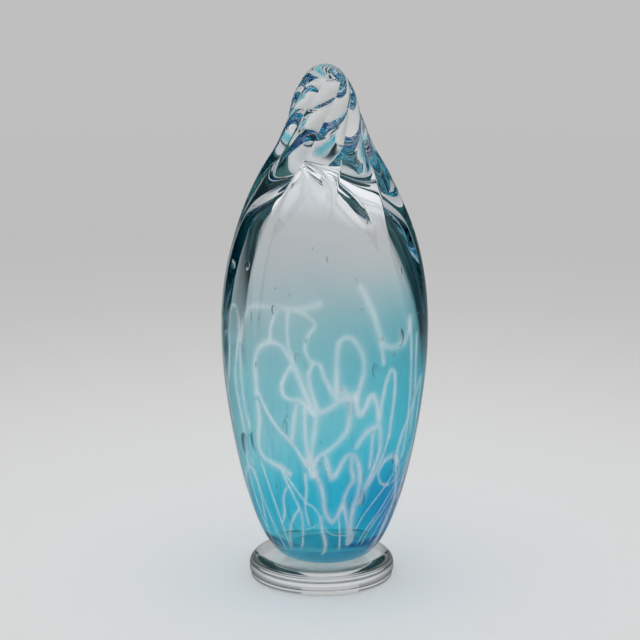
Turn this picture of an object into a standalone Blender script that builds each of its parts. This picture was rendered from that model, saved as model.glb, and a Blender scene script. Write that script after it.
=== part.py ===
"""A blown glass shell sculpture on a clear disc foot.

A thick clear casing, ribbed and twisted to a solid tip, is gathered over a bubble of blue glass.
White lace threads lie on the bubble, under the casing. The ground base is bonded to a foot of
two clear discs. Lengths are in metres, +Z is up, and the body's axis stands on the origin.
"""

import math

import bpy
import numpy as np

# Foot: a lower plate and an upper disc with a rounded shoulder
PLATE_RADIUS = 0.0374
PLATE_THICKNESS = 0.0026
PLATE_CHAMFER = 0.0005
DISC_RADIUS = 0.0381
DISC_THICKNESS = 0.0089
DISC_CHAMFER = 0.0007
SHOULDER_WIDTH = 0.0077
SHOULDER_HEIGHT = 0.0058
FOOT_OFFSET_X = -0.0017

# Adhesive films, each with a clearance on both faces
SEAM_FILM = 0.0002
BASE_FILM = 0.0003
FILM_CLEARANCE = 0.0001
FILM_INSET = 0.0012

# Body outline: heights are measured from the ground base
BASE_RADIUS = 0.0213
BELLY_RADIUS = 0.0542
BELLY_HEIGHT = 0.1177
NECK_RADIUS = 0.0276
NECK_HEIGHT = 0.2137
TIP_RADIUS = 0.0173
TIP_START = 0.2397
TIP_LENGTH = 0.0203

# How full the outline is below the belly, above it, and at the tip
LOWER_FULLNESS = (1.425, 1.8)
UPPER_FULLNESS = 2.4
TIP_FULLNESS = (1.2, 2.2)
TIP_SLOPE = -0.38

# How far the outline is eased where its lower and upper curves meet
BELLY_EASE = 0.018
BELLY_EASE_SPAN = 0.06

# Ribs of the casing, deepest at the neck and run out at the end of the tip, and their twist
RIB_COUNT = 8
RIB_DEPTH = 0.0033
RIB_FADE = 0.045
RIB_END = (0.245, 0.256)
RIB_START = math.radians(-142.4)
TWIST = math.radians(50)
TWIST_HEIGHT = 0.2327
TWIST_FADE = 0.03

# Hollow inside the body
WALL_LOW = 0.0058
WALL_HIGH = 0.0142
WALL_LOW_END = 0.0177
WALL_HIGH_START = 0.2
WALL_RISE = 1.6
SOLID_TIP = 0.0559
DOME_DEPTH = 0.03
FLOOR_THICKNESS = 0.0032
FLOOR_CORNER = 0.013
BLOW_HOLE_RADIUS = 0.003

# Lean of the hollow: to +X up to the belly, then back past the axis at its top
LEAN_OUT = 0.0038
LEAN_BACK = 0.0083
LEAN_TURN = 0.1

# Blue bubble, thinner at its top
BUBBLE_WALL = 0.0022
BUBBLE_TOP_WALL = 0.001

# White lace threads between the bubble and the casing
LACE_COUNT = 12
LACE_WIDTH = 0.0018
LACE_THICKNESS = 0.0006
LACE_CLEARANCE = 0.0004
LACE_SPACING = 0.0006
LACE_BOTTOM = 0.008
LACE_TOP = 0.145
LACE_TOP_SPREAD = 0.03
LACE_ARCH = 0.014
LACE_CELL_HEIGHT = 0.036
LACE_LEG_POINTS = 15
LACE_ARCH_POINTS = 7
GOLDEN_RATIO = 0.618

# Facets of the turned pieces
CASING_STEPS = 40
BUBBLE_STEPS = 24
FOOT_STEPS = 40
LOWER_RINGS = 10
UPPER_RINGS = 8
NECK_RINGS = 6
TIP_RINGS = 7
DOME_RINGS = 5
SHOULDER_POINTS = 6
EASE_SAMPLES = 9
SCREW_MERGE = 0.00005

# Places that follow from the sizes
SEAM_BOTTOM = PLATE_THICKNESS + FILM_CLEARANCE
DISC_BOTTOM = SEAM_BOTTOM + SEAM_FILM + FILM_CLEARANCE
DISC_TOP = DISC_BOTTOM + DISC_THICKNESS
BOND_BOTTOM = DISC_TOP + FILM_CLEARANCE
BASE_Z = BOND_BOTTOM + BASE_FILM + FILM_CLEARANCE
BODY_HEIGHT = TIP_START + TIP_LENGTH
CAVITY_TOP = BODY_HEIGHT - SOLID_TIP
LACE_LAYER = LACE_THICKNESS + 2 * LACE_CLEARANCE
BUBBLE_TOP = CAVITY_TOP + BUBBLE_TOP_WALL
CASING_CAVITY_TOP = BUBBLE_TOP + LACE_LAYER


def smooth_step(value, start, end):
    """Zero before start and one after end, with an easy rise between them."""
    share = np.clip((value - start) / (end - start), 0, 1)
    return share * share * (3 - 2 * share)


def neck_radius(height):
    """A cubic from the neck to the start of the tip, with the slopes of both."""
    span = TIP_START - NECK_HEIGHT
    fall = BELLY_RADIUS - NECK_RADIUS
    slope = -fall * UPPER_FULLNESS / (NECK_HEIGHT - BELLY_HEIGHT)
    t = (height - NECK_HEIGHT) / span
    start = (2 * t**3 - 3 * t**2 + 1) * NECK_RADIUS + (t**3 - 2 * t**2 + t) * span * slope
    end = (3 * t**2 - 2 * t**3) * TIP_RADIUS + (t**3 - t**2) * span * TIP_SLOPE
    return start + end


def outline_radius(height):
    """Outer radius over the crests of the ribs, from the curves of the outline."""
    if height <= BELLY_HEIGHT:
        along, out = LOWER_FULLNESS
        rise = 1 - (1 - height / BELLY_HEIGHT) ** along
        return BASE_RADIUS + (BELLY_RADIUS - BASE_RADIUS) * rise ** (1 / out)
    if height <= NECK_HEIGHT:
        share = (height - BELLY_HEIGHT) / (NECK_HEIGHT - BELLY_HEIGHT)
        return BELLY_RADIUS - (BELLY_RADIUS - NECK_RADIUS) * share**UPPER_FULLNESS
    if height <= TIP_START:
        return neck_radius(height)
    along, out = TIP_FULLNESS
    share = min((height - TIP_START) / TIP_LENGTH, 1)
    return TIP_RADIUS * (1 - share**along) ** (1 / out)


def body_radius(height):
    """Outer radius over the crests of the ribs, eased at the belly."""
    reach = BELLY_EASE * max(1 - abs(height - BELLY_HEIGHT) / BELLY_EASE_SPAN, 0)
    steps = np.linspace(-1, 1, EASE_SAMPLES)
    return float(np.mean([outline_radius(height + reach * step) for step in steps]))


def glass_wall(height):
    """Thickness of all the glass between the hollow and the outside."""
    share = np.clip((height - WALL_LOW_END) / (WALL_HIGH_START - WALL_LOW_END), 0, 1)
    return WALL_LOW + (WALL_HIGH - WALL_LOW) * share**WALL_RISE


def bubble_wall(height):
    """Thickness of the blue glass, which thins out upwards."""
    return BUBBLE_WALL + (BUBBLE_TOP_WALL - BUBBLE_WALL) * smooth_step(height, 0, CAVITY_TOP)


def inner_radius(height, inset, top):
    """Radius of a surface inside the body, closed by a blunt dome at the top."""
    share = max((height - top + DOME_DEPTH) / DOME_DEPTH, 0)
    return (body_radius(height) - inset) * math.sqrt(max(1 - share**2, 0))


def cavity_radius(height):
    """Radius of the hollow, rounded into its floor."""
    radius = inner_radius(height, glass_wall(height), CAVITY_TOP)
    rise = max(1 - (height - FLOOR_THICKNESS) / FLOOR_CORNER, 0)
    return radius - FLOOR_CORNER * (1 - math.sqrt(max(1 - rise**2, 0)))


def bubble_radius(height):
    """Outer radius of the blue bubble."""
    return inner_radius(height, glass_wall(height) - bubble_wall(height), BUBBLE_TOP)


def casing_cavity_radius(height):
    """Inner radius of the casing, which leaves room for the lace on the bubble."""
    inset = glass_wall(height) - bubble_wall(height) - LACE_LAYER
    return inner_radius(height, inset, CASING_CAVITY_TOP)


def lean(height):
    """How far the middle of the hollow stands from the body's axis, along X."""
    out = LEAN_OUT * smooth_step(height, 0, LEAN_TURN)
    share = np.clip((height - LEAN_TURN) / (CAVITY_TOP - LEAN_TURN), 0, 1)
    return out - LEAN_BACK * share**2


def lower_heights(bottom):
    """Ring heights from the bottom to the belly, closest where the outline turns in."""
    shares = [(ring / LOWER_RINGS) ** 2 for ring in range(LOWER_RINGS + 1)]
    return [bottom + (BELLY_HEIGHT - bottom) * share for share in shares]


def inner_heights(bottom, top):
    """Ring heights of a surface inside the body, up to the point of its dome."""
    dome = top - DOME_DEPTH
    upper = np.linspace(BELLY_HEIGHT, dome, UPPER_RINGS + 1)[1:]
    turns = np.linspace(0, math.pi / 2, DOME_RINGS + 1)[1:]
    return [*lower_heights(bottom), *upper, *(dome + DOME_DEPTH * np.sin(turns))]


def outer_heights():
    """Ring heights of the outside of the casing, from the base to the tip."""
    upper = np.linspace(BELLY_HEIGHT, NECK_HEIGHT, UPPER_RINGS + 1)[1:]
    neck = np.linspace(NECK_HEIGHT, TIP_START, NECK_RINGS + 1)[1:]
    turns = np.linspace(0, math.pi / 2, TIP_RINGS + 1)[1:]
    return [*lower_heights(0), *upper, *neck, *(TIP_START + TIP_LENGTH * np.sin(turns))]


def make_material(name, colour, roughness, transmission=0.0):
    material = bpy.data.materials.new(name)
    material.use_nodes = True
    shader = material.node_tree.nodes["Principled BSDF"]
    shader.inputs["Base Color"].default_value = (*colour, 1)
    shader.inputs["Roughness"].default_value = roughness
    shader.inputs["Metallic"].default_value = 0
    shader.inputs["Transmission Weight"].default_value = transmission
    return material


def add_object(name, mesh, material, parent):
    """Links a mesh to the object's collection and hangs it on the parent."""
    mesh.materials.append(material)
    mesh.shade_smooth()
    made = bpy.data.objects.new(name, mesh)
    parent.users_collection[0].objects.link(made)
    made.parent = parent
    return made


def add_turned(name, profile, steps, material, parent):
    """Turns a profile of (radius, height) points about the parent's axis, outer side first."""
    mesh = bpy.data.meshes.new(name)
    points = [(radius, 0, height) for radius, height in profile]
    edges = [(index, index + 1) for index in range(len(points) - 1)]
    mesh.from_pydata(points, edges, [])
    made = add_object(name, mesh, material, parent)
    screw = made.modifiers.new("Turn", "SCREW")
    screw.steps = steps
    screw.render_steps = steps
    screw.use_merge_vertices = True
    screw.merge_threshold = SCREW_MERGE
    return made


def fix_turned(piece):
    """Keeps the turned shape as plain points, which can then be moved one by one."""
    bpy.context.view_layer.update()
    turned = piece.evaluated_get(bpy.context.evaluated_depsgraph_get())
    piece.data = bpy.data.meshes.new_from_object(turned)
    piece.modifiers.clear()
    return piece.data.vertices


def add_parent(name, location, collection):
    """An empty that places the pieces of one group."""
    empty = bpy.data.objects.new(name, None)
    empty.location = location
    collection.objects.link(empty)
    return empty


def rib_depth(height):
    """Depth of the creases between the ribs."""
    if height > NECK_HEIGHT:
        return RIB_DEPTH * body_radius(height) / NECK_RADIUS * (1 - smooth_step(height, *RIB_END))
    return RIB_DEPTH * math.exp((height - NECK_HEIGHT) / RIB_FADE)


def rib_angle(height):
    """Turn of the ribs about the axis, fastest at the tip."""
    return RIB_START + TWIST * math.exp((height - TWIST_HEIGHT) / TWIST_FADE)


def shape_casing(vertex):
    """Moves a point inside the casing with the hollow's lean. Draws one outside in towards
    the creases and turns it with the twist."""
    radius = math.hypot(vertex.co.x, vertex.co.y)
    height = vertex.co.z
    inside = casing_cavity_radius(height) if height < CASING_CAVITY_TOP else 0
    if radius < (body_radius(height) + inside) / 2:
        vertex.co.x += lean(height)
        return
    angle = math.atan2(vertex.co.y, vertex.co.x)
    crease = 1 - abs(math.sin(angle * RIB_COUNT / 2))
    radius -= rib_depth(height) * crease
    angle += rib_angle(height)
    vertex.co.x = radius * math.cos(angle)
    vertex.co.y = radius * math.sin(angle)


def add_casing(material, parent):
    """The clear outer glass: solid at the tip, open at the ground base, ribbed and twisted outside."""
    outside = [(body_radius(height), height) for height in reversed(outer_heights())]
    hollow = [(casing_cavity_radius(height), height) for height in inner_heights(0, CASING_CAVITY_TOP)]
    casing = add_turned("clear_casing", outside + hollow, CASING_STEPS, material, parent)
    for vertex in fix_turned(casing):
        shape_casing(vertex)


def add_bubble(material, parent):
    """The blue glass round the hollow, with a floor and the hole that it was blown through."""
    outside = [(bubble_radius(height), height) for height in reversed(inner_heights(0, BUBBLE_TOP))]
    hole = [(BLOW_HOLE_RADIUS, 0), (BLOW_HOLE_RADIUS, FLOOR_THICKNESS)]
    heights = inner_heights(FLOOR_THICKNESS, CAVITY_TOP)
    hollow = [(cavity_radius(height), height) for height in heights]
    bubble = add_turned("blue_bubble", outside + hole + hollow, BUBBLE_STEPS, material, parent)
    for vertex in fix_turned(bubble):
        vertex.co.x += lean(vertex.co.z)


def lace_radius(height):
    """Radius of the middle of the lace layer over the bubble's straight facets."""
    rings = inner_heights(0, BUBBLE_TOP)
    radii = [bubble_radius(ring) for ring in rings]
    return float(np.interp(height, rings, radii)) + LACE_LAYER / 2


def leg_angle(height, phase):
    """Half the angle between a thread's two legs: they swing from each other to their neighbours."""
    pitch = 2 * math.pi / LACE_COUNT
    least = (LACE_WIDTH + LACE_SPACING) / (2 * lace_radius(height))
    swing = pitch / 4 - least
    return pitch / 4 + swing * math.cos(math.pi * height / LACE_CELL_HEIGHT + phase)


def thread_path(index):
    """Points (angle, height) of one thread: up one leg, over an arch and down the other leg."""
    middle = 2 * math.pi * index / LACE_COUNT
    scatter = index * GOLDEN_RATIO % 1
    top = LACE_TOP + LACE_TOP_SPREAD * (scatter - 0.5)
    phase = math.pi * (index % 2) + scatter
    spring = top - LACE_ARCH
    heights = np.linspace(LACE_BOTTOM, spring, LACE_LEG_POINTS)
    leg = [(leg_angle(height, phase), height) for height in heights]
    width = leg[-1][0]
    turns = np.linspace(0, math.pi, LACE_ARCH_POINTS + 2)[1:-1]
    arch = [(-width * math.cos(turn), spring + LACE_ARCH * math.sin(turn)) for turn in turns]
    left = [(-angle, height) for angle, height in leg]
    return [(middle + angle, height) for angle, height in left + arch + leg[::-1]]


def on_lace_layer(angle, height):
    radius = lace_radius(height)
    return lean(height) + radius * math.cos(angle), radius * math.sin(angle), height


def thread_edges(path):
    """The two edges of a thread, half a width to each side of its path on the bubble."""
    flat = np.array([(lace_radius(height) * angle, height) for angle, height in path])
    along = np.gradient(flat, axis=0)
    along /= np.linalg.norm(along, axis=1)[:, None]
    edges = []
    for (angle, height), (round_way, up_way) in zip(path, along):
        aside = LACE_WIDTH / 2 * up_way / lace_radius(height)
        below = LACE_WIDTH / 2 * round_way
        edges.append(on_lace_layer(angle - aside, height + below))
        edges.append(on_lace_layer(angle + aside, height - below))
    return edges


def add_lace_thread(index, material, parent):
    """One white thread, a flat strip on the bubble."""
    name = f"lace_thread_{index + 1:02d}"
    edges = thread_edges(thread_path(index))
    faces = [(at, at + 1, at + 3, at + 2) for at in range(0, len(edges) - 2, 2)]
    mesh = bpy.data.meshes.new(name)
    mesh.from_pydata(edges, [], faces)
    thread = add_object(name, mesh, material, parent)
    solidify = thread.modifiers.new("Thickness", "SOLIDIFY")
    solidify.thickness = LACE_THICKNESS
    solidify.offset = 0


def add_foot_disc(material, parent):
    """The upper disc, with a rounded shoulder above and a small chamfer below."""
    turns = np.linspace(0, math.pi / 2, SHOULDER_POINTS)
    flat = DISC_RADIUS - SHOULDER_WIDTH
    spring = DISC_TOP - SHOULDER_HEIGHT
    shoulder = [
        (flat + SHOULDER_WIDTH * math.sin(turn), spring + SHOULDER_HEIGHT * math.cos(turn)) for turn in turns
    ]
    edge = [(DISC_RADIUS, DISC_BOTTOM + DISC_CHAMFER), (DISC_RADIUS - DISC_CHAMFER, DISC_BOTTOM)]
    profile = [(0, DISC_TOP), *shoulder, *edge, (0, DISC_BOTTOM)]
    add_turned("foot_disc", profile, FOOT_STEPS, material, parent)


def add_foot_plate(material, parent):
    """The lower plate, with both edges chamfered."""
    rim = PLATE_RADIUS - PLATE_CHAMFER
    profile = [
        (0, PLATE_THICKNESS),
        (rim, PLATE_THICKNESS),
        (PLATE_RADIUS, PLATE_THICKNESS - PLATE_CHAMFER),
        (PLATE_RADIUS, PLATE_CHAMFER),
        (rim, 0),
        (0, 0),
    ]
    add_turned("foot_plate", profile, FOOT_STEPS, material, parent)


def add_film(name, radius, bottom, thickness, material, parent):
    """A round film of adhesive."""
    top = bottom + thickness
    profile = [(0, top), (radius, top), (radius, bottom), (0, bottom)]
    add_turned(name, profile, FOOT_STEPS, material, parent)


def main():
    for old in list(bpy.data.objects):
        bpy.data.objects.remove(old)
    collection = bpy.data.collections.new("glass_shell_sculpture")
    bpy.context.scene.collection.children.link(collection)

    clear = make_material("clear_glass", (0.94, 0.97, 0.98), 0.02, 1)
    blue = make_material("blue_glass", (0.05, 0.48, 0.66), 0.02, 0.9)
    white = make_material("white_lace_glass", (0.8, 0.84, 0.9), 0.3)
    disc_glass = make_material("foot_glass", (0.9, 0.93, 0.93), 0.03, 1)
    adhesive = make_material("clear_adhesive", (0.85, 0.88, 0.86), 0.2, 0.8)

    foot = add_parent("foot", (FOOT_OFFSET_X, 0, 0), collection)
    add_foot_plate(disc_glass, foot)
    add_film("seam_bond", PLATE_RADIUS - PLATE_CHAMFER - FILM_INSET, SEAM_BOTTOM, SEAM_FILM, adhesive, foot)
    add_foot_disc(disc_glass, foot)

    body = add_parent("body", (0, 0, BASE_Z), collection)
    add_film("base_bond", BASE_RADIUS - FILM_INSET, BOND_BOTTOM - BASE_Z, BASE_FILM, adhesive, body)
    add_casing(clear, body)
    add_bubble(blue, body)
    for index in range(LACE_COUNT):
        add_lace_thread(index, white, body)


main()
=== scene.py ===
"""Looks of a blown glass shell sculpture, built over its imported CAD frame.

The clear glass is one closed surface from the outside to the hollow, with air seeds inside it. The blue
glass is a coloured layer round the hollow, and the white lace lies on that layer. Lengths are in metres,
and +Z is up.
"""

import math

import bpy
import numpy as np
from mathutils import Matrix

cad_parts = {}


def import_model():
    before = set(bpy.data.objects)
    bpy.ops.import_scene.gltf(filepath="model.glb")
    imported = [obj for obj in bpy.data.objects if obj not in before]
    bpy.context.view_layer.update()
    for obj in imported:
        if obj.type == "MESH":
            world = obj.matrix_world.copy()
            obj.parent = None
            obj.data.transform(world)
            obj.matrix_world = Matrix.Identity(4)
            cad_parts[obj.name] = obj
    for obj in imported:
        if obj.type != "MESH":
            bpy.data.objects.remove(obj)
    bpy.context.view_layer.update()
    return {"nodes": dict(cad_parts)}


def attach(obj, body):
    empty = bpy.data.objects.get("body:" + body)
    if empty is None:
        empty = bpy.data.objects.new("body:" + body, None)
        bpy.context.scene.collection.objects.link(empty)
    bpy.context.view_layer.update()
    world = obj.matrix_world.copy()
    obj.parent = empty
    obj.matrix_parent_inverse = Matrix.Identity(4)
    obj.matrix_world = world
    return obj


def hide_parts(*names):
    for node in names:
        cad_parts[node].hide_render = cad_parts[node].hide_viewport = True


# Body outline over the rib crests: heights are measured from the ground base
BASE_RADIUS = 0.0213
BELLY_RADIUS = 0.0542
BELLY_HEIGHT = 0.1177
BELLY_EASE = 0.018
BELLY_EASE_SPAN = 0.06
NECK_RADIUS = 0.0276
NECK_HEIGHT = 0.2137
TIP_RADIUS = 0.0173
TIP_START = 0.2397
TIP_LENGTH = 0.0203
LOWER_FULLNESS = (1.425, 1.8)
UPPER_FULLNESS = 2.4
TIP_FULLNESS = (1.2, 2.2)
TIP_SLOPE = -0.38

# Ribs of the outside, and their twist
RIB_COUNT = 8
RIB_DEPTH = 0.0033
RIB_FADE = 0.045
RIB_START = math.radians(-142.4)
RIB_END = (0.245, 0.256)
TWIST = math.radians(50)
TWIST_HEIGHT = 0.2327
TWIST_FADE = 0.03

# Hollow inside the body, and how it leans
WALL_LOW = 0.0058
WALL_HIGH = 0.0142
WALL_LOW_END = 0.0177
WALL_HIGH_START = 0.2
WALL_RISE = 1.6
SOLID_TIP = 0.0559
DOME_DEPTH = 0.03
FLOOR_THICKNESS = 0.0032
FLOOR_CORNER = 0.013
LEAN_OUT = 0.0038
LEAN_BACK = 0.0083
LEAN_TURN = 0.1
HOLLOW_RIB_DEPTH = 0.0018
HOLLOW_RIB_LIMIT = 3

# Blue layer, a little away from the hollow and thinner upwards
BUBBLE_WALL = 0.0022
BUBBLE_TOP_WALL = 0.001
LAYER_GAP = 0.00015
BLUE_DEPTH = 0.00046
BLUE_FADE = (0.085, 0.165)
BLUE_LOW_DEPTH = 0.001
BLUE_LOW_FADE = (0.028, 0.062)
BLUE_LEAST = 0.000165
BLUE_FLOOR = 0.0004
BLUE_START = 0.03
BLUE_START_SHARE = 0.5
BLUE_UNEVEN = 0.5

# White lace on the blue layer. A thread's sheets are shares of its width, each with a lift
LACE_COUNT = 12
LACE_LAYER = 0.0014
LACE_LOWEST = 0.002
LACE_END = 0.002
LACE_STEP = 0.00002
LACE_STEPS = 5
LACE_REACH = 0.0009
LACE_SHEETS = [(0.5, -0.0002), (0.7, -0.0001), (0.85, 0), (1.7, 0.0001)]
LACE_SOFTNESS = 2
LACE_SPAN_STEPS = 6
LACE_FAINT_START = 0.085
LACE_FAINT_END = 0.14
LACE_FAINTNESS = 0.5
LACE_SECTION = [-1, -0.7, -0.4, 0, 0.4, 0.7, 1]

# Threads that the picture doesn't show: tall and short hairpins round the sides and the back
NET_COUNT = 13
NET_FRONT = math.radians(62)
NET_TALL = (0.1, 0.145)
NET_SHORT = (0.035, 0.075)
NET_WIDTH = 2.2
NET_REACH = 0.5
NET_SPREAD = 2.5
NET_SWING = 0.45
NET_CELL = 0.032
NET_SWAY = 0.06
NET_SWAY_LENGTH = 0.014
NET_POINTS = 80

# The picture that the threads are read from: its middle, the body's height there, and its view
PICTURE_MIDDLE = (324.8, 320)
PICTURE_HEIGHT = 0.1258
PICTURE_TILT = math.radians(14.49)
PIXEL = 0.000513
PICTURE_EDGE = 0.97
PICTURE_ROUNDS = 4

# Threads seen from the front: width, about in millimetres, then points in pixels of the picture
LACE_PATHS = [
    (3.6, [(251, 396), (250, 356), (256, 344), (265, 341), (275, 344), (287, 364), (298, 392), (309, 413)]),
    (2.6, [(286, 362), (279, 372), (275, 383), (277, 393), (284, 397), (292, 398), (299, 404), (307, 413)]),
    (2.6, [(311, 410), (306, 395), (302, 380), (302, 369), (307, 362), (313, 364), (318, 377), (328, 398)]),
    (3.4, [(303, 413), (312, 411), (322, 406), (331, 399), (340, 396), (349, 397)]),
    (3.2, [(330, 402), (329, 370), (331, 344), (338, 337), (347, 339), (355, 352), (356, 370), (350, 392)]),
    (3.0, [(350, 388), (349, 402), (352, 413), (357, 408), (361, 398), (365, 394), (370, 406), (375, 438)]),
    (4.6, [(331, 384), (338, 393), (346, 404)]),
    (2.0, [(373, 420), (375, 398), (379, 380), (384, 369), (388, 373), (388, 392), (386, 412), (383, 440)]),
    (2.0, [(405, 318), (406, 350), (405, 390), (403, 430), (399, 460)]),
    (2.0, [(412, 330), (411, 362), (410, 400), (407, 436)]),
    (4.0, [(355, 283), (362, 300), (369, 317), (373, 335), (380, 345), (391, 345), (402, 335), (406, 312)]),
    (2.4, [(374, 336), (375, 350), (377, 366)]),
    (3.8, [(235, 342), (240, 318), (249, 306), (264, 306), (284, 308), (303, 307), (320, 302)]),
    (2.2, [(284, 308), (282, 322), (282, 340), (287, 362)]),
    (2.2, [(274, 309), (267, 322), (264, 340)]),
    (2.4, [(287, 310), (300, 314), (309, 324), (303, 333), (298, 345), (302, 358), (309, 362)]),
    (2.0, [(235, 342), (236, 372), (239, 398), (246, 430)]),
    (3.0, [(251, 396), (254, 416), (254, 440), (259, 454), (270, 462), (280, 467), (289, 475)]),
    (2.0, [(251, 386), (261, 408), (271, 424), (280, 434), (289, 444), (297, 456), (304, 466)]),
    (3.0, [(290, 399), (287, 418), (286, 440)]),
    (2.6, [(297, 403), (298, 422), (300, 442), (305, 462)]),
    (3.2, [(309, 413), (308, 430), (306, 447), (305, 464)]),
    (5.2, [(303, 455), (306, 465), (311, 477)]),
    (2.6, [(307, 466), (315, 480), (320, 494), (322, 507), (327, 519), (332, 521), (337, 512), (341, 502)]),
    (2.6, [(308, 467), (312, 457), (318, 452), (322, 462), (328, 477), (334, 467), (340, 456), (348, 450)]),
    (3.0, [(343, 402), (341, 425), (335, 436), (326, 445), (317, 452)]),
    (3.0, [(373, 424), (363, 428), (355, 437), (348, 450)]),
    (2.2, [(347, 450), (346, 464), (349, 478), (344, 489), (341, 502), (344, 516), (347, 529), (348, 548)]),
    (3.0, [(348, 450), (354, 465), (356, 480), (355, 494), (351, 509), (350, 525), (351, 545)]),
    (2.8, [(375, 434), (374, 453), (368, 472), (361, 490), (356, 505)]),
    (2.0, [(366, 424), (366, 446), (365, 469)]),
    (1.3, [(384, 432), (380, 450), (374, 467), (365, 486)]),
    (2.8, [(378, 463), (384, 457), (391, 456), (397, 463)]),
    (1.3, [(388, 485), (378, 483), (375, 472), (380, 461)]),
    (1.1, [(397, 462), (396, 475), (388, 485)]),
    (0.7, [(398, 460), (386, 482), (371, 503), (358, 523), (350, 546)]),
    (0.7, [(403, 460), (393, 486), (380, 509), (366, 530), (356, 548)]),
    (0.7, [(407, 452), (398, 482), (385, 508), (372, 526), (361, 547)]),
    (0.7, [(391, 504), (379, 526), (369, 545)]),
    (0.9, [(337, 516), (339, 534), (339, 552)]),
    (2.0, [(318, 514), (321, 530), (325, 545), (323, 557)]),
    (0.9, [(247, 455), (254, 478), (263, 503), (273, 527), (286, 552)]),
    (0.9, [(257, 458), (266, 484), (275, 508), (283, 530), (290, 550)]),
    (1.3, [(276, 463), (283, 480), (292, 497), (299, 512), (302, 530), (302, 550)]),
    (0.9, [(279, 467), (289, 483), (303, 501), (312, 507), (319, 518)]),
    (1.3, [(284, 484), (281, 497), (283, 512), (281, 524)]),
    (1.3, [(298, 506), (291, 521), (289, 536), (292, 551)]),
    (1.3, [(300, 470), (303, 488), (303, 506), (308, 526)]),
    (0.5, [(303, 533), (318, 525), (329, 534), (339, 536), (352, 536)]),
]

# Air seeds: the large ones as (turn from the front in degrees, height, half length, half width)
LARGE_SEEDS = [
    (-62, 0.066, 0.006, 0.004),
    (47, 0.126, 0.0045, 0.0026),
    (15, 0.093, 0.0048, 0.0016),
    (27, 0.041, 0.0045, 0.0016),
    (-31, 0.142, 0.0024, 0.0014),
    (-74, 0.158, 0.0026, 0.003),
    (33, 0.127, 0.0014, 0.0014),
    (-16, 0.119, 0.0022, 0.0012),
    (150, 0.09, 0.0045, 0.0024),
    (-140, 0.06, 0.005, 0.0025),
    (115, 0.045, 0.004, 0.002),
    (-110, 0.125, 0.0035, 0.002),
]
SMALL_SEED_COUNT = 60
SMALL_SEED = 0.00045
SMALL_SEED_LEAST = 0.5
SMALL_SEED_LENGTHS = 3
SMALL_SEED_TOP = 0.19
SEED_SHARE = 0.45
SEED_DEPTH = 0.0004
SEED_STEPS = 12

# Share of a turn that scatters repeated things
GOLDEN_RATIO = 0.618

# Foot, and the adhesive films at its seam and under the body
PLATE_RADIUS = 0.0374
PLATE_THICKNESS = 0.0026
PLATE_CHAMFER = 0.0005
DISC_RADIUS = 0.0381
DISC_THICKNESS = 0.0089
DISC_CHAMFER = 0.0007
SHOULDER_WIDTH = 0.0077
SHOULDER_HEIGHT = 0.0058
SEAM_FILM = 0.0002
BASE_FILM = 0.0003
FILM_CLEARANCE = 0.0001
FILM_INSET = 0.0012
FOOT_X = -0.0017

# Places that follow from the sizes
SEAM_RADIUS = PLATE_RADIUS - PLATE_CHAMFER - FILM_INSET
DISC_BOTTOM = PLATE_THICKNESS + SEAM_FILM + 2 * FILM_CLEARANCE
DISC_TOP = DISC_BOTTOM + DISC_THICKNESS
BASE_Z = DISC_TOP + BASE_FILM + 2 * FILM_CLEARANCE
BODY_HEIGHT = TIP_START + TIP_LENGTH
CAVITY_TOP = BODY_HEIGHT - SOLID_TIP
BUBBLE_TOP = CAVITY_TOP + BUBBLE_TOP_WALL

# Fineness of the turned surfaces
STEPS = 256
LOWER_RINGS = 60
UPPER_RINGS = 80
INNER_RINGS = 40
TIP_RINGS = 40
DOME_RINGS = 28
RING_EASE = 1.6
EASE_SAMPLES = 9
DISC_EDGE_POINTS = 8
SHOULDER_POINTS = 24
PLATE_EDGE_POINTS = 6

# Faces that count as level, and edges that stay sharp
FLAT_FACE = 0.99
BODY_SHARP = math.radians(40)
FOOT_SHARP = math.radians(25)

# Glass, whose tint wanders between two colours
GLASS_IOR = 1.5
TINT_STOPS = (0.3, 0.7)
TINT_SCALE = 30
CLEAR_TINTS = [(0.97, 0.985, 0.985), (1, 1, 1)]
FOOT_TINTS = [(0.94, 0.97, 0.98), (0.97, 0.985, 0.99)]
# Painted blue-green light on the ground base, from the blue layer above it
GROUND_PAINTED_LIGHT_TINTS = [(0.28, 0.74, 0.74), (0.5, 0.9, 0.9)]
GROUND_ROUGHNESS = 0.6
GROUND_CLEARNESS = 0.1
BONDED_TINTS = [(0.98, 0.99, 1), (1, 1, 1)]
ADHESIVE_TINTS = [(0.96, 0.98, 0.95), (1, 1, 0.99)]
ADHESIVE_VEIL = 0.08
BLUE_TINTS = [(0.985, 0.98, 1), (1, 0.99, 1)]
BLUE_ABSORPTION = (0, 0.86, 0.95)
BLUE_DENSITY = 1500
LACE_TINTS = [(0.82, 0.86, 0.92), (0.95, 0.96, 0.97)]
LACE_TINT_SCALE = 120
LACE_ROUGHNESS = 0.8
LACE_VEIL = 0.28
LACE_VEIL_INSIDE = 0.05
LACE_CLOUD_SCALE = 60
LACE_CLOUDS = (-0.2, 0.7)

# Stage: pale paper, the light of the room, and dark cards that only the glass shows
FLOOR_REACH = 6
FLOOR_DROP = 0.0002
FLOOR_RAMP_REACH = 3
# Greys of the paper by distance from the object: a painted pool of light, brightest round it
FLOOR_LIGHT_POOL_GREYS = [
    (0.0, 0.96),
    (0.045, 0.92),
    (0.09, 0.875),
    (0.125, 0.82),
    (0.16, 0.76),
    (0.2, 0.705),
    (0.265, 0.665),
    (0.35, 0.665),
    (0.48, 0.68),
    (1.0, 0.68),
]
FLOOR_GLOW = 0.46
FLOOR_GLOW_SHARE = 0.8
SKY_GREYS = [(0.0, 0.5), (0.1, 0.54), (0.25, 0.68), (0.5, 0.85), (1.0, 1.0)]
ROOM_LIGHT = 0.75
LIGHT_IN_GLASS = 2.2
AFTER_SCATTER = -100
FADE_START = 10
FADE_END = 18
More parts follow.
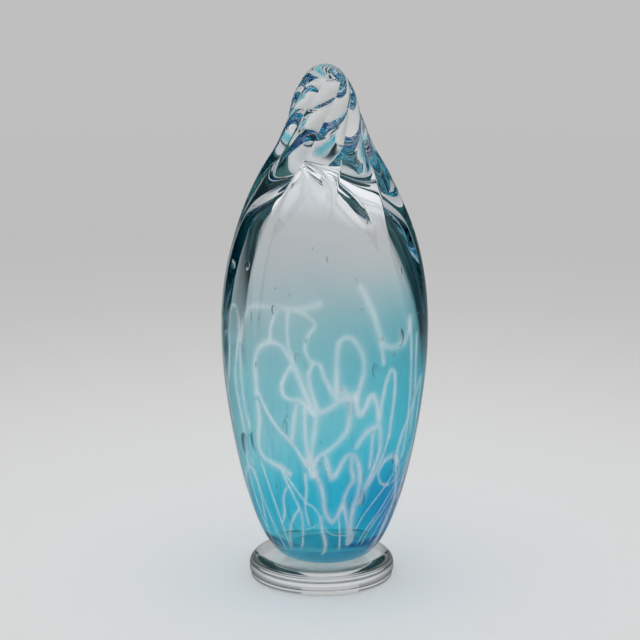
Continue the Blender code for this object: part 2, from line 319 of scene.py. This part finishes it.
# Painted shade for long light paths in the glass, and painted darkening of the outer reflection
LONG_PATH_SHADE_COLOURS = [(0.0, (1, 1, 1)), (0.35, (0.12, 0.3, 0.27)), (1.0, (0.012, 0.035, 0.035))]
OUTSIDE_REFLECTION_SHADE = 0.4
FLAG_REACH = 0.5
FLAG_TOP = 0.6
FLAG_FADE = 0.1
FLAG_POINTS = 24
FLAG_STREAK_SCALE = 14
FLAG_STREAK_STRETCH = (1, 1, 0.25)
FLAG_STREAKS = (0.45, 0.6, 0.68)

# Dark cards: name, turns at both ends in degrees from behind, cloth and streaks
FLAGS = [
    ("left_flag", -80, -20, (0.004, 0.01, 0.012), (0.012, 0.055, 0.062)),
    ("right_flag", 10, 80, (0.008, 0.016, 0.019), (0.012, 0.06, 0.07)),
]

# Camera, with lengths of the lens in millimetres
CAMERA_PLACE = (0, -1.4, 0.5)
CAMERA_LENS = 156.5
CAMERA_SENSOR = 36
CAMERA_SHIFT = -0.0075
CAMERA_REACH = 50

# Turns that light may take
GLASS_TURNS = 32
GLOSS_TURNS = 16
ALPHA_TURNS = 64


def smooth_step(value, start, end):
    """Zero before start and one after end, with an easy rise between them."""
    share = np.clip((value - start) / (end - start), 0, 1)
    return share * share * (3 - 2 * share)


def clamp(value, low, high):
    return min(max(value, low), high)


def neck_radius(height):
    """A cubic from the neck to the start of the tip, with the slopes of both."""
    span = TIP_START - NECK_HEIGHT
    fall = BELLY_RADIUS - NECK_RADIUS
    slope = -fall * UPPER_FULLNESS / (NECK_HEIGHT - BELLY_HEIGHT)
    t = (height - NECK_HEIGHT) / span
    start = (2 * t**3 - 3 * t**2 + 1) * NECK_RADIUS + (t**3 - 2 * t**2 + t) * span * slope
    end = (3 * t**2 - 2 * t**3) * TIP_RADIUS + (t**3 - t**2) * span * TIP_SLOPE
    return start + end


def outline_radius(height):
    """Outer radius over the rib crests, from the curves of the outline."""
    if height <= BELLY_HEIGHT:
        along, out = LOWER_FULLNESS
        rise = 1 - (1 - max(height, 0) / BELLY_HEIGHT) ** along
        return BASE_RADIUS + (BELLY_RADIUS - BASE_RADIUS) * rise ** (1 / out)
    if height <= NECK_HEIGHT:
        share = (height - BELLY_HEIGHT) / (NECK_HEIGHT - BELLY_HEIGHT)
        return BELLY_RADIUS - (BELLY_RADIUS - NECK_RADIUS) * share**UPPER_FULLNESS
    if height <= TIP_START:
        return neck_radius(height)
    along, out = TIP_FULLNESS
    share = min((height - TIP_START) / TIP_LENGTH, 1)
    return TIP_RADIUS * (1 - share**along) ** (1 / out)


def body_radius(height):
    """Outer radius over the rib crests, eased at the belly."""
    reach = BELLY_EASE * max(1 - abs(height - BELLY_HEIGHT) / BELLY_EASE_SPAN, 0)
    steps = np.linspace(-1, 1, EASE_SAMPLES)
    return float(np.mean([outline_radius(height + reach * step) for step in steps]))


def glass_wall(height):
    """Thickness of all the glass between the hollow and the outside."""
    share = clamp((height - WALL_LOW_END) / (WALL_HIGH_START - WALL_LOW_END), 0, 1)
    return WALL_LOW + (WALL_HIGH - WALL_LOW) * share**WALL_RISE


def bubble_wall(height):
    """Thickness of the blown bubble, which thins out upwards."""
    return BUBBLE_WALL + (BUBBLE_TOP_WALL - BUBBLE_WALL) * smooth_step(height, 0, CAVITY_TOP)


def inner_radius(height, inset, top):
    """Radius of a surface inside the body, closed by a blunt dome at the top."""
    share = max((height - top + DOME_DEPTH) / DOME_DEPTH, 0)
    return (body_radius(height) - inset) * math.sqrt(max(1 - share**2, 0))


def cavity_radius(height):
    """Radius of the hollow, rounded into its floor."""
    radius = inner_radius(height, glass_wall(height), CAVITY_TOP)
    rise = clamp(1 - (height - FLOOR_THICKNESS) / FLOOR_CORNER, 0, 1)
    return radius - FLOOR_CORNER * (1 - math.sqrt(1 - rise**2))


def blue_depth(height):
    """Depth of the blue colour: even in the middle, greatest just above the base, none at the top."""
    depth = BLUE_DEPTH * (1 - smooth_step(height, *BLUE_FADE))
    depth += BLUE_LOW_DEPTH * (1 - smooth_step(height, *BLUE_LOW_FADE))
    return depth * (BLUE_START_SHARE + (1 - BLUE_START_SHARE) * smooth_step(height, 0, BLUE_START))


def blue_radius(height):
    return cavity_radius(height) + blue_depth(height) + BLUE_LEAST


def lace_radius(height):
    """Radius of the lace layer on the bubble."""
    inset = glass_wall(height) - bubble_wall(height)
    return inner_radius(height, inset, BUBBLE_TOP) + LACE_LAYER / 2


def lean(height):
    """How far the middle of the hollow stands to the right of the body's axis."""
    out = LEAN_OUT * smooth_step(height, 0, LEAN_TURN)
    share = np.clip((height - LEAN_TURN) / (CAVITY_TOP - LEAN_TURN), 0, 1)
    return out - LEAN_BACK * share**2


def blue_lean(height):
    """The blue colour stands further to the right than the hollow, and is deeper there."""
    return lean(height) + BLUE_UNEVEN * blue_depth(height)


def rib_depth(height):
    """Depth of the creases between the ribs."""
    if height > NECK_HEIGHT:
        return RIB_DEPTH * body_radius(height) / NECK_RADIUS * (1 - smooth_step(height, *RIB_END))
    return RIB_DEPTH * math.exp((height - NECK_HEIGHT) / RIB_FADE)


def rib_angle(height):
    """Turn of the ribs about the axis, fastest at the tip."""
    return RIB_START + TWIST * math.exp((height - TWIST_HEIGHT) / TWIST_FADE)


def eased(start, end, count, power=1.0):
    """Values from start to end, closer to each other at the start when power is above one."""
    return [start + (end - start) * (step / count) ** power for step in range(count + 1)]


def ring(radius, height, shift=0.0, turn=0.0, crease=0.0):
    """A ring of points about the axis. Creases are cut between the ribs."""
    angles = np.linspace(0, 2 * math.pi, STEPS, endpoint=False)
    radii = radius - crease * (1 - np.abs(np.sin(angles * RIB_COUNT / 2)))
    x = shift + radii * np.cos(angles + turn)
    y = radii * np.sin(angles + turn)
    return np.stack([x, y, np.full(STEPS, height)], axis=1)


def skin(rings, bottom, top, first=0):
    """Points and outward faces of a closed surface from a bottom pole over rings to a top pole."""
    steps = len(rings[0])
    points = np.concatenate([*rings, [bottom, top]])
    low = first + len(points) - 2
    high = low + 1
    last = first + (len(rings) - 1) * steps
    faces = []
    for column in range(steps):
        after = (column + 1) % steps
        faces.append((low, first + after, first + column))
        for start in range(first, last, steps):
            faces.append((start + column, start + after, start + steps + after, start + steps + column))
        faces.append((high, last + column, last + after))
    return points, faces


def flipped(faces):
    return [face[::-1] for face in faces]


def add_piece(name, points, faces, materials):
    """A smooth mesh object in the scene."""
    mesh = bpy.data.meshes.new(name)
    mesh.from_pydata(points, [], faces)
    for material in materials:
        mesh.materials.append(material)
    mesh.shade_smooth()
    piece = bpy.data.objects.new(name, mesh)
    bpy.context.scene.collection.objects.link(piece)
    return piece


def axis_point(height):
    """A point on the middle line of the hollow."""
    return (lean(height), 0, BASE_Z + height)


def outer_skin():
    """The outside of the body, ribbed and twisted at the tip."""
    turns = np.linspace(0, math.pi / 2, TIP_RINGS)[1:-1]
    heights = eased(0, BELLY_HEIGHT, LOWER_RINGS, RING_EASE)
    heights += eased(BELLY_HEIGHT, TIP_START, UPPER_RINGS)[1:]
    heights += [TIP_START + TIP_LENGTH * math.sin(turn) for turn in turns]
    rings = [ring(body_radius(h), BASE_Z + h, 0, rib_angle(h), rib_depth(h)) for h in heights]
    return skin(rings, (0, 0, BASE_Z), (0, 0, BASE_Z + BODY_HEIGHT))


def inner_rings(radius_of, bottom, top, lean_of=lean):
    """Rings of a surface inside the body, with faint ribs under its dome."""
    dome = top - DOME_DEPTH
    turns = np.linspace(0, math.pi / 2, DOME_RINGS)[1:-1]
    heights = eased(bottom, BELLY_HEIGHT, LOWER_RINGS, RING_EASE)
    heights += eased(BELLY_HEIGHT, dome, INNER_RINGS)[1:]
    heights += [dome + DOME_DEPTH * math.sin(turn) for turn in turns]
    rings = []
    for height in heights:
        radius = max(radius_of(height), LAYER_GAP)
        crease = HOLLOW_RIB_DEPTH * math.exp((height - CAVITY_TOP) / RIB_FADE)
        crease = min(crease, radius / HOLLOW_RIB_LIMIT)
        rings.append(ring(radius, BASE_Z + height, lean_of(height), rib_angle(height), crease))
    return rings


def seed_places():
    """All air seeds as (angle, height, half length, half width)."""
    front = -math.pi / 2
    places = [(front + math.radians(turn), *size) for turn, *size in LARGE_SEEDS]
    for index in range(SMALL_SEED_COUNT):
        scatter = index * GOLDEN_RATIO % 1
        height = SMALL_SEED_TOP * (index + 1) / (SMALL_SEED_COUNT + 1)
        size = SMALL_SEED * (SMALL_SEED_LEAST + scatter)
        places.append((2 * math.pi * scatter, height, size * (1 + index % SMALL_SEED_LENGTHS), size))
    return places


def seed_skin(angle, height, half_length, half_width, first):
    """A long air seed in the clear glass, upright and with its faces turned in."""
    inside = lace_radius(height) + LACE_LAYER / 2 + lean(height) * math.cos(angle)
    reach = inside + SEED_SHARE * (body_radius(height) - rib_depth(height) - inside)
    middle = np.array([reach * math.cos(angle), reach * math.sin(angle), BASE_Z + height])
    across = np.array([-math.sin(angle), math.cos(angle), 0])
    out = np.array([math.cos(angle), math.sin(angle), 0])
    up = np.array([0, 0, 1])
    turns = np.linspace(0, 2 * math.pi, SEED_STEPS, endpoint=False)
    rings = []
    for rise in np.linspace(-math.pi / 2, math.pi / 2, SEED_STEPS)[1:-1]:
        thick = np.outer(min(half_width, SEED_DEPTH) * np.cos(turns), out)
        wide = np.outer(half_width * np.sin(turns), across)
        rings.append(middle + half_length * math.sin(rise) * up + math.cos(rise) * (thick + wide))
    points, faces = skin(rings, middle - half_length * up, middle + half_length * up, first)
    return points, flipped(faces)


def add_body_glass(clear, ground):
    """The glass from the outside to the hollow, with its air seeds and its ground base."""
    points, faces = outer_skin()
    hollow = inner_rings(cavity_radius, FLOOR_THICKNESS, CAVITY_TOP)
    more, inner = skin(hollow, axis_point(FLOOR_THICKNESS), axis_point(CAVITY_TOP), len(points))
    points = [points, more]
    faces += flipped(inner)
    for place in seed_places():
        more, inner = seed_skin(*place, sum(len(group) for group in points))
        points.append(more)
        faces += inner
    body = add_piece("body_glass", np.concatenate(points), faces, [clear, ground])
    for polygon in body.data.polygons:
        if polygon.center.z < BASE_Z + LAYER_GAP and polygon.normal.z < -FLAT_FACE:
            polygon.material_index = 1
    body.data.set_sharp_from_angle(angle=BODY_SHARP)
    return body


def add_blue_layer(blue):
    """The coloured layer round the hollow, with a thin floor."""
    floor = FLOOR_THICKNESS - LAYER_GAP
    top = CAVITY_TOP + LAYER_GAP
    outer = inner_rings(blue_radius, floor, top, blue_lean)
    outer.insert(0, outer[0] - np.array([0, 0, BLUE_FLOOR]))
    points, faces = skin(outer, axis_point(floor - BLUE_FLOOR), axis_point(top + LAYER_GAP))
    hollow = inner_rings(lambda height: cavity_radius(height) + LAYER_GAP, floor, top)
    more, inner = skin(hollow, axis_point(floor), axis_point(top), len(points))
    return add_piece("blue_layer", np.concatenate([points, more]), faces + flipped(inner), [blue])


def lace_place(column, row):
    """The place (angle, height) on the lace layer that shows at a pixel of the picture.

    Light bends at the outside of the glass, and a place that is nearer shows lower down.
    """
    across = (column - PICTURE_MIDDLE[0]) * PIXEL
    level = PICTURE_HEIGHT + (PICTURE_MIDDLE[1] - row) * PIXEL / math.cos(PICTURE_TILT)
    height = max(level, LACE_LOWEST)
    for _ in range(PICTURE_ROUNDS):
        layer = lace_radius(height)
        outside = body_radius(height)
        seen = clamp(across / outside, -PICTURE_EDGE, PICTURE_EDGE)
        inside = clamp(seen * outside / (GLASS_IOR * layer), -1, 1)
        turn = math.asin(seen) - math.asin(seen / GLASS_IOR) + math.asin(inside)
        height = max(level + layer * math.cos(turn) * math.tan(PICTURE_TILT), LACE_LOWEST)
    return turn - math.pi / 2, height


def smooth_path(points):
    """Close points on a curve through the given ones."""
    points = np.array([points[0], *points, points[-1]], dtype=float)
    curve = []
    for before, start, end, after in zip(points, points[1:], points[2:], points[3:]):
        for t in np.linspace(0, 1, LACE_SPAN_STEPS, endpoint=False):
            bend = (2 * before - 5 * start + 4 * end - after) * t**2
            sway = (3 * start - before - 3 * end + after) * t**3
            curve.append((2 * start + (end - before) * t + bend + sway) / 2)
    return np.array([*curve, points[-1]])


def hairpin(middle, reach, top, scatter):
    """A thread's places (angle, height): up, over an arch and down again, in wide and narrow cells."""
    along = np.linspace(-1, 1, NET_POINTS)
    heights = LACE_LOWEST + (top - LACE_LOWEST) * (1 - along**2)
    phase = 2 * math.pi * scatter
    cells = 1 + NET_SWING * np.cos(math.pi * heights / NET_CELL + phase)
    sway = NET_SWAY * np.sin(heights / NET_SWAY_LENGTH + phase)
    return np.stack([middle + reach * np.tanh(NET_SPREAD * along) * cells + sway, heights], axis=1)


def net_paths():
    """Hairpins from one edge of the front round the back to the other edge, tall and short in turn."""
    pitch = 2 * (math.pi - NET_FRONT) / NET_COUNT
    paths = []
    for index in range(2 * NET_COUNT):
        scatter = index * GOLDEN_RATIO % 1
        low, high = NET_SHORT if index % 2 else NET_TALL
        middle = NET_FRONT - math.pi / 2 + pitch * (index + 0.5) / 2
        paths.append(hairpin(middle, NET_REACH * pitch, low + (high - low) * scatter, scatter))
    return paths


def lace_threads():
    """All threads as (half width, path): those seen from the front, and the net round the rest."""
    threads = []
    for width, pixels in LACE_PATHS:
        path = np.array([lace_place(column, row) for column, row in smooth_path(pixels)])
        threads.append((LACE_REACH * width, path))
    return threads + [(LACE_REACH * NET_WIDTH, path) for path in net_paths()]


def thread_shape(path, half_width, lift, first):
    """Points, faces and whiteness of one thread along its places on the lace layer."""
    layer = np.array([lace_radius(height) for _, height in path])
    flat = np.stack([path[:, 0] * layer, path[:, 1]], axis=1)
    along = np.gradient(flat, axis=0)
    along /= np.linalg.norm(along, axis=1)[:, None]
    run = np.concatenate([[0], np.cumsum(np.linalg.norm(np.diff(flat, axis=0), axis=1))])
    ends = smooth_step(np.minimum(run, run[-1] - run), 0, LACE_END)
    points = []
    whiteness = []
    for (angle, height), radius, (round_way, up_way), end in zip(path, layer + lift, along, ends):
        faint = 1 - LACE_FAINTNESS * smooth_step(height, LACE_FAINT_START, LACE_FAINT_END)
        for aside in LACE_SECTION:
            turn = angle + aside * half_width * up_way / radius
            level = height - aside * half_width * round_way
            x = lean(level) + radius * math.cos(turn)
            points.append((x, radius * math.sin(turn), BASE_Z + level))
            whiteness.append(max(math.cos(aside * math.pi / 2), 0) ** LACE_SOFTNESS * end * faint)
    size = len(LACE_SECTION)
    faces = []
    for start in range(first, first + (len(path) - 1) * size, size):
        for at in range(start, start + size - 1):
            faces.append((at, at + 1, at + size + 1, at + size))
    return points, faces, whiteness


def add_lace(white):
    """White threads on the blue layer, gathered in one piece for each sector.

    Each thread has sheets of different width, so that it is whitest along its middle.
    """
    sectors = [([], [], []) for _ in range(LACE_COUNT)]
    for index, (half_width, path) in enumerate(lace_threads()):
        sector = sectors[round(np.mean(path[:, 0]) * LACE_COUNT / (2 * math.pi)) % LACE_COUNT]
        step = LACE_STEP * (index % LACE_STEPS - LACE_STEPS // 2)
        for share, lift in LACE_SHEETS:
            shape = thread_shape(path, half_width * share, lift + step, len(sector[0]))
            for kept, more in zip(sector, shape):
                kept += more
    pieces = []
    for number, (points, faces, whiteness) in enumerate(sectors):
        piece = add_piece(f"lace_{number + 1:02d}", points, faces, [white])
        kept = piece.data.attributes.new("whiteness", "FLOAT", "POINT")
        kept.data.foreach_set("value", whiteness)
        pieces.append(piece)
    return pieces


def arc(centre, radii, start, end, count):
    """Points of an ellipse's arc, as (radius, height)."""
    turns = np.linspace(start, end, count)
    return [(centre[0] + radii[0] * math.cos(t), centre[1] + radii[1] * math.sin(t)) for t in turns]


def add_foot_piece(name, profile, clear, bonded, bonded_side):
    """A turned piece of the foot. Light goes straight through its bonded flat face."""
    rings = [ring(radius, height, FOOT_X) for radius, height in profile[1:-1]]
    points, faces = skin(rings, (FOOT_X, 0, profile[0][1]), (FOOT_X, 0, profile[-1][1]))
    piece = add_piece(name, points, faces, [clear, bonded])
    for polygon in piece.data.polygons:
        reach = math.hypot(polygon.center.x - FOOT_X, polygon.center.y)
        if polygon.normal.z * bonded_side > FLAT_FACE and reach < SEAM_RADIUS:
            polygon.material_index = 1
    piece.data.set_sharp_from_angle(angle=FOOT_SHARP)
    return piece


def add_foot_disc(clear, bonded):
    """The upper disc, with a rounded shoulder. Its underside is bonded."""
    edge = DISC_RADIUS - DISC_CHAMFER
    round_off = (DISC_CHAMFER, DISC_CHAMFER)
    flat = DISC_RADIUS - SHOULDER_WIDTH
    spring = DISC_TOP - SHOULDER_HEIGHT
    profile = [(0, DISC_BOTTOM), (SEAM_RADIUS, DISC_BOTTOM)]
    profile += arc((edge, DISC_BOTTOM + DISC_CHAMFER), round_off, -math.pi / 2, 0, DISC_EDGE_POINTS)
    profile += arc((flat, spring), (SHOULDER_WIDTH, SHOULDER_HEIGHT), 0, math.pi / 2, SHOULDER_POINTS)
    profile += [(BASE_RADIUS, DISC_TOP), (0, DISC_TOP)]
    return add_foot_piece("foot_disc_glass", profile, clear, bonded, -1)


def add_foot_plate(clear, bonded):
    """The lower plate, with rounded edges. Its top is bonded."""
    edge = PLATE_RADIUS - PLATE_CHAMFER
    round_off = (PLATE_CHAMFER, PLATE_CHAMFER)
    profile = [(0, 0)]
    profile += arc((edge, PLATE_CHAMFER), round_off, -math.pi / 2, 0, PLATE_EDGE_POINTS)
    profile += arc((edge, PLATE_THICKNESS - PLATE_CHAMFER), round_off, 0, math.pi / 2, PLATE_EDGE_POINTS)
    profile += [(SEAM_RADIUS, PLATE_THICKNESS), (0, PLATE_THICKNESS)]
    return add_foot_piece("foot_plate_glass", profile, clear, bonded, 1)


def new_material(name):
    """A new node material and its shader."""
    material = bpy.data.materials.new(name)
    material.use_nodes = True
    return material, material.node_tree.nodes["Principled BSDF"]


def add_ramp(tree, value, stops):
    """A colour ramp over a value, from (place, colour) stops."""
    ramp = tree.nodes.new("ShaderNodeValToRGB")
    elements = ramp.color_ramp.elements
    while len(elements) < len(stops):
        elements.new(0.5)
    for element, (place, colour) in zip(elements, stops):
        element.position = place
        element.color = (*colour, 1)
    tree.links.new(value, ramp.inputs["Fac"])
    return ramp.outputs["Color"]


def grey_ramp(tree, value, stops):
    return add_ramp(tree, value, [(place, (grey, grey, grey)) for place, grey in stops])


def add_noise(tree, scale, stretch=(1, 1, 1)):
    """Soft noise over the object, stretched along its axes."""
    place = tree.nodes.new("ShaderNodeTexCoord")
    mapping = tree.nodes.new("ShaderNodeMapping")
    mapping.inputs["Scale"].default_value = stretch
    tree.links.new(place.outputs["Object"], mapping.inputs["Vector"])
    noise = tree.nodes.new("ShaderNodeTexNoise")
    noise.inputs["Scale"].default_value = scale
    tree.links.new(mapping.outputs["Vector"], noise.inputs["Vector"])
    return noise.outputs["Fac"]


def add_math(tree, operation, *values):
    """A math node over values that are numbers or other nodes' outputs."""
    node = tree.nodes.new("ShaderNodeMath")
    node.operation = operation
    for socket, value in zip(node.inputs, values):
        if isinstance(value, (int, float)):
            socket.default_value = value
        else:
            tree.links.new(value, socket)
    return node.outputs["Value"]


def map_range(tree, value, start, end):
    """A value's place from start to end, as zero to one."""
    node = tree.nodes.new("ShaderNodeMapRange")
    node.inputs["From Min"].default_value = start
    node.inputs["From Max"].default_value = end
    tree.links.new(value, node.inputs["Value"])
    return node.outputs["Result"]


def mix_colours(tree, blend, factor, first, second):
    """A mix of two colours, each a node's output or a grey. So is the factor."""
    node = tree.nodes.new("ShaderNodeMix")
    node.data_type = "RGBA"
    node.blend_type = blend
    if isinstance(factor, (int, float)):
        node.inputs["Factor"].default_value = factor
    else:
        tree.links.new(factor, node.inputs["Factor"])
    for name, colour in (("A", first), ("B", second)):
        if isinstance(colour, (int, float)):
            node.inputs[name].default_value = (colour, colour, colour, 1)
        else:
            tree.links.new(colour, node.inputs[name])
    return node.outputs["Result"]


def add_tint(tree, shader, scale, tints):
    """A base colour that wanders between two tints."""
    colour = add_ramp(tree, add_noise(tree, scale), list(zip(TINT_STOPS, tints)))
    tree.links.new(colour, shader.inputs["Base Color"])


def clear_glass(name, tints, ior=GLASS_IOR):
    """Smooth glass with a faint tint, and its shader."""
    material, shader = new_material(name)
    shader.inputs["Roughness"].default_value = 0
    shader.inputs["IOR"].default_value = ior
    shader.inputs["Transmission Weight"].default_value = 1
    add_tint(material.node_tree, shader, TINT_SCALE, tints)
    return material, shader


def ground_glass():
    """The ground base, with painted blue-green light from the layer above. It scatters most of the light.
    """
    material, shader = clear_glass("ground_glass", GROUND_PAINTED_LIGHT_TINTS)
    shader.inputs["Roughness"].default_value = GROUND_ROUGHNESS
    shader.inputs["Transmission Weight"].default_value = GROUND_CLEARNESS
    return material


def bonded_glass():
    """Faces that an adhesive of the same index joins, so that they can't be seen."""
    material, shader = clear_glass("bonded_glass", BONDED_TINTS)
    shader.inputs["Alpha"].default_value = 0
    return material


def clear_adhesive():
    """A thin film that hardly shows."""
    material, shader = clear_glass("clear_adhesive", ADHESIVE_TINTS, 1)
    shader.inputs["Alpha"].default_value = ADHESIVE_VEIL
    return material


def blue_glass():
    """Colour inside the glass: light isn't bent at it, and loses red on its way through."""
    material, _ = clear_glass("blue_glass", BLUE_TINTS, 1)
    tree = material.node_tree
    volume = tree.nodes.new("ShaderNodeVolumeAbsorption")
    volume.inputs["Color"].default_value = (*BLUE_ABSORPTION, 1)
    volume.inputs["Density"].default_value = BLUE_DENSITY
    tree.links.new(volume.outputs["Volume"], tree.nodes["Material Output"].inputs["Volume"])
    return material


def lace_glass():
    """White glass, soft at its edges and fainter from inside."""
    material, shader = new_material("white_lace_glass")
    shader.inputs["Roughness"].default_value = LACE_ROUGHNESS
    tree = material.node_tree
    add_tint(tree, shader, LACE_TINT_SCALE, LACE_TINTS)
    whiteness = tree.nodes.new("ShaderNodeAttribute")
    whiteness.attribute_name = "whiteness"
    inside = tree.nodes.new("ShaderNodeNewGeometry").outputs["Backfacing"]
    veil = add_math(tree, "MULTIPLY_ADD", inside, LACE_VEIL_INSIDE - LACE_VEIL, LACE_VEIL)
    clouds = map_range(tree, add_noise(tree, LACE_CLOUD_SCALE), *LACE_CLOUDS)
    veil = add_math(tree, "MULTIPLY", clouds, veil)
    tree.links.new(add_math(tree, "MULTIPLY", whiteness.outputs["Fac"], veil), shader.inputs["Alpha"])
    return material


def painted_glass_shade(tree):
    """Painted shade on the floor and the sky, for how glass dims what it shows by the way the light took.

    Light that was turned many times inside is painted dark and blue-green, unless a rough face scattered
    it. What the outside of the glass reflects is painted darker, as painted shade in the reflection.
    """
    path = tree.nodes.new("ShaderNodeLightPath").outputs
    turns = add_math(tree, "MULTIPLY_ADD", path["Diffuse Depth"], AFTER_SCATTER, path["Ray Depth"])
    fade = add_ramp(tree, map_range(tree, turns, FADE_START, FADE_END), LONG_PATH_SHADE_COLOURS)
    outside = add_math(tree, "SUBTRACT", path["Glossy Depth"], path["Transmission Depth"])
    reflection_shade = grey_ramp(tree, outside, [(0.0, 1.0), (1.0, OUTSIDE_REFLECTION_SHADE)])
    return mix_colours(tree, "MULTIPLY", 1, fade, reflection_shade)


def floor_paper():
    """Pale paper, painted as a pool of light round the object. Glass shows it without the object's shadow.
    """
    material, shader = new_material("floor_paper")
    shader.inputs["Roughness"].default_value = 1
    shader.inputs["Specular IOR Level"].default_value = 0
    tree = material.node_tree
    away = tree.nodes.new("ShaderNodeVectorMath")
    away.operation = "LENGTH"
    tree.links.new(tree.nodes.new("ShaderNodeTexCoord").outputs["Object"], away.inputs[0])
    grey = grey_ramp(tree, map_range(tree, away.outputs["Value"], 0, FLOOR_RAMP_REACH), FLOOR_LIGHT_POOL_GREYS)
    # Painted shade from the glass's light paths darkens the paper
    colour = mix_colours(tree, "MULTIPLY", 1, grey, painted_glass_shade(tree))
    tree.links.new(colour, shader.inputs["Base Color"])
    glow = tree.nodes.new("ShaderNodeEmission")
    glow.inputs["Strength"].default_value = FLOOR_GLOW
    tree.links.new(colour, glow.inputs["Color"])
    through = tree.nodes.new("ShaderNodeLightPath").outputs["Is Transmission Ray"]
    mixed = tree.nodes.new("ShaderNodeMixShader")
    tree.links.new(add_math(tree, "MULTIPLY", through, FLOOR_GLOW_SHARE), mixed.inputs[0])
    tree.links.new(shader.outputs["BSDF"], mixed.inputs[1])
    tree.links.new(glow.outputs["Emission"], mixed.inputs[2])
    tree.links.new(mixed.outputs["Shader"], tree.nodes["Material Output"].inputs["Surface"])
    return material


def stage_floor():
    corners = [(-1, -1), (1, -1), (1, 1), (-1, 1)]
    points = [(FLOOR_REACH * x, FLOOR_REACH * y, -FLOOR_DROP) for x, y in corners]
    add_piece("floor", points, [(0, 1, 2, 3)], [floor_paper()])


def flag_cloth(name, dark, streak):
    """Dark cloth with paler streaks. Only light that the glass turned back shows it."""
    material, shader = new_material(name)
    shader.inputs["Roughness"].default_value = 1
    shader.inputs["Specular IOR Level"].default_value = 0
    tree = material.node_tree
    noise = add_noise(tree, FLAG_STREAK_SCALE, FLAG_STREAK_STRETCH)
    colour = add_ramp(tree, noise, list(zip(FLAG_STREAKS, (dark, streak, dark))))
    tree.links.new(colour, shader.inputs["Base Color"])
    place = tree.nodes.new("ShaderNodeSeparateXYZ")
    tree.links.new(tree.nodes.new("ShaderNodeTexCoord").outputs["Object"], place.inputs[0])
    turned = tree.nodes.new("ShaderNodeLightPath").outputs["Glossy Depth"]
    shown = add_math(tree, "MINIMUM", turned, 1)
    risen = map_range(tree, place.outputs["Z"], 0, FLAG_FADE)
    tree.links.new(add_math(tree, "MULTIPLY", shown, risen), shader.inputs["Alpha"])
    return material


def dark_flag(name, start, end, dark, streak):
    """A curved dark card beside the set, from one turn to another in degrees."""
    points = []
    for turn in np.radians(np.linspace(start, end, FLAG_POINTS)):
        for level in (0, FLAG_TOP):
            points.append((FLAG_REACH * math.sin(turn), FLAG_REACH * math.cos(turn), level))
    faces = [(at, at + 1, at + 3, at + 2) for at in range(0, len(points) - 2, 2)]
    flag = add_piece(name, points, faces, [flag_cloth(name, dark, streak)])
    flag.visible_camera = False
    flag.visible_diffuse = False
    flag.visible_shadow = False


def add_world():
    """Even soft light. Glass shows a room that is brighter overhead."""
    world = bpy.data.worlds.new("room")
    bpy.context.scene.world = world
    world.use_nodes = True
    tree = world.node_tree
    way = tree.nodes.new("ShaderNodeSeparateXYZ")
    tree.links.new(tree.nodes.new("ShaderNodeTexCoord").outputs["Generated"], way.inputs[0])
    sky = grey_ramp(tree, way.outputs["Z"], SKY_GREYS)
    # Painted shade from the glass's light paths darkens the sky that glass shows
    seen = mix_colours(tree, "MULTIPLY", 1, sky, painted_glass_shade(tree))
    path = tree.nodes.new("ShaderNodeLightPath").outputs
    light = mix_colours(tree, "MIX", path["Transmission Depth"], ROOM_LIGHT, LIGHT_IN_GLASS)
    colour = mix_colours(tree, "MIX", path["Diffuse Depth"], seen, light)
    tree.links.new(colour, tree.nodes["Background"].inputs["Color"])


def add_camera():
    data = bpy.data.cameras.new("camera")
    data.sensor_width = CAMERA_SENSOR
    data.lens = CAMERA_LENS
    data.shift_x = CAMERA_SHIFT
    data.clip_end = CAMERA_REACH
    camera = bpy.data.objects.new("camera", data)
    camera.location = CAMERA_PLACE
    camera.rotation_euler = (math.radians(90) - PICTURE_TILT, 0, 0)
    bpy.context.scene.collection.objects.link(camera)
    bpy.context.scene.camera = camera


def set_light_paths(scene):
    """Room for light to be turned many times inside the glass."""
    scene.view_settings.view_transform = "Standard"
    scene.cycles.max_bounces = GLASS_TURNS
    scene.cycles.transmission_bounces = GLASS_TURNS
    scene.cycles.glossy_bounces = GLOSS_TURNS
    scene.cycles.transparent_max_bounces = ALPHA_TURNS


def stand_for(piece, slot, *nodes):
    """Shows a piece in place of the frame's nodes."""
    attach(piece, "root")
    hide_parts(*nodes)


def dress_object(frame):
    """The object's glass, and the adhesive films of the frame."""
    clear, _ = clear_glass("clear_glass", CLEAR_TINTS)
    ground = ground_glass()
    bonded = bonded_glass()
    stand_for(add_body_glass(clear, ground), "clear_glass", "clear_casing")
    stand_for(add_blue_layer(blue_glass()), "blue_glass", "blue_bubble")
    for index, piece in enumerate(add_lace(lace_glass())):
        stand_for(piece, "white_lace_glass", f"lace_thread_{index + 1:02d}")
    foot, _ = clear_glass("foot_glass", FOOT_TINTS)
    stand_for(add_foot_disc(foot, bonded), "foot_glass", "foot_disc")
    stand_for(add_foot_plate(foot, bonded), "foot_glass", "foot_plate")
    adhesive = clear_adhesive()
    for name in ("base_bond", "seam_bond"):
        film = frame["nodes"][name]
        film.data.materials.clear()
        film.data.materials.append(adhesive)


def main():
    set_light_paths(bpy.context.scene)
    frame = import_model()
    dress_object(frame)
    stage_floor()
    for flag in FLAGS:
        dark_flag(*flag)
    add_world()
    add_camera()


main()
